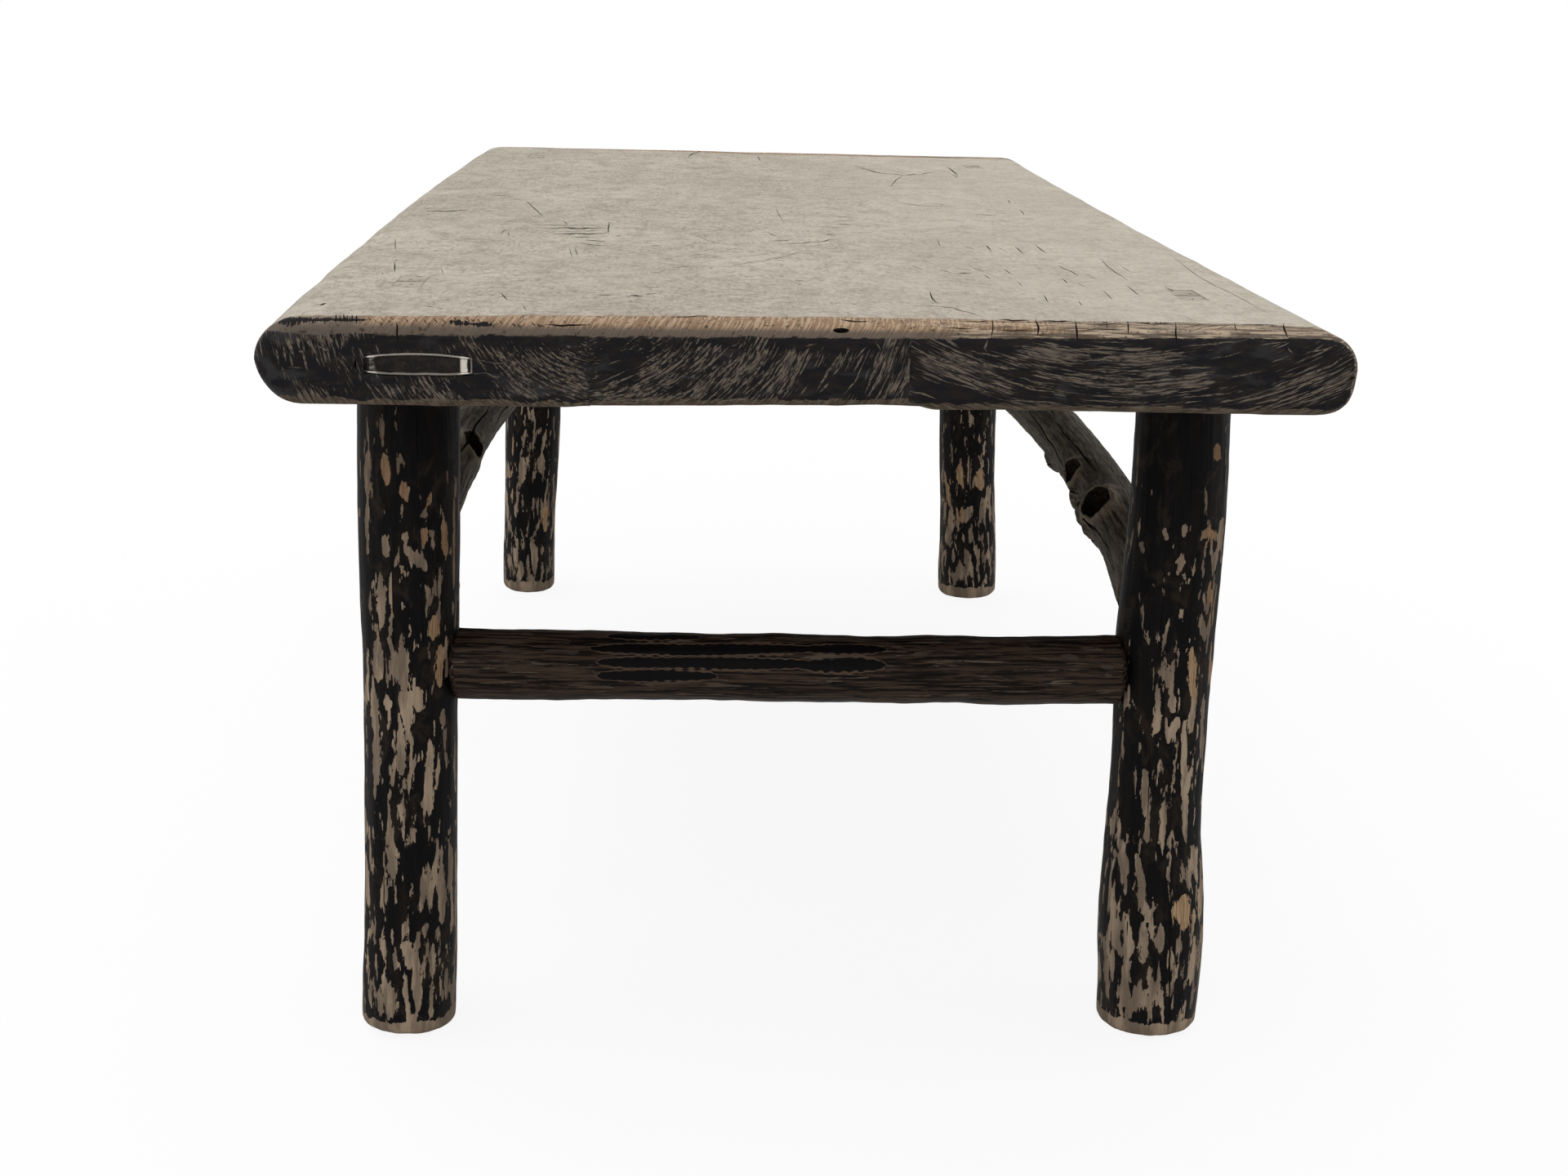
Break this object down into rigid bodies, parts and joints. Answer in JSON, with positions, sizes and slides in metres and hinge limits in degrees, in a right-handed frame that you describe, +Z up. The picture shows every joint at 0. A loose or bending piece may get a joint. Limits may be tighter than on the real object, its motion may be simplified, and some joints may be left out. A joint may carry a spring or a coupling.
{
  "type": "kang table",
  "caption": "Low table with a thick plank top on round log legs, joined by round end rails and naturally bent side branches with wedged through tenons.",
  "frame": {"origin": "on the floor, under the middle of the top's outline", "axes": "+Y along the table's length, away from the end that has the iron staple; +X to the right as seen from that end; +Z up"},
  "size_m": [0.6259, 1.2, 0.487],
  "materials": {
    "top_wood": "weathered, with remains of black lacquer on its ends",
    "tongue_wood": "bare",
    "lacquered_wood": "worn black lacquer",
    "branch_wood": "weathered, dull",
    "wedge_wood": "bare, dark with age",
    "forged_iron": "forged, worn bright at its rims"
  },
  "bodies": {
    "root": {"plank_left": "top_wood", "plank_middle": "top_wood", "plank_right": "top_wood", "tongue_left_front": "tongue_wood", "tongue_left_middle": "tongue_wood", "tongue_left_back": "tongue_wood", "tongue_right_front": "tongue_wood", "tongue_right_middle": "tongue_wood", "tongue_right_back": "tongue_wood", "leg_front_left": "lacquered_wood", "leg_front_right": "lacquered_wood", "leg_back_left": "lacquered_wood", "leg_back_right": "lacquered_wood", "end_rail_front": "lacquered_wood", "end_rail_back": "lacquered_wood", "side_branch_left": "branch_wood", "side_branch_right": "branch_wood", "wedge_leg_front_left": "wedge_wood", "wedge_leg_front_right": "wedge_wood", "wedge_leg_back_left": "wedge_wood", "wedge_leg_back_right": "wedge_wood", "wedge_rail_front_left": "wedge_wood", "wedge_rail_front_right": "wedge_wood", "wedge_rail_back_left": "wedge_wood", "wedge_rail_back_right": "wedge_wood", "wedge_branch_front_left": "wedge_wood", "wedge_branch_front_right": "wedge_wood", "wedge_branch_back_left": "wedge_wood", "wedge_branch_back_right": "wedge_wood", "iron_staple": "forged_iron"}
  },
  "joints": []
}
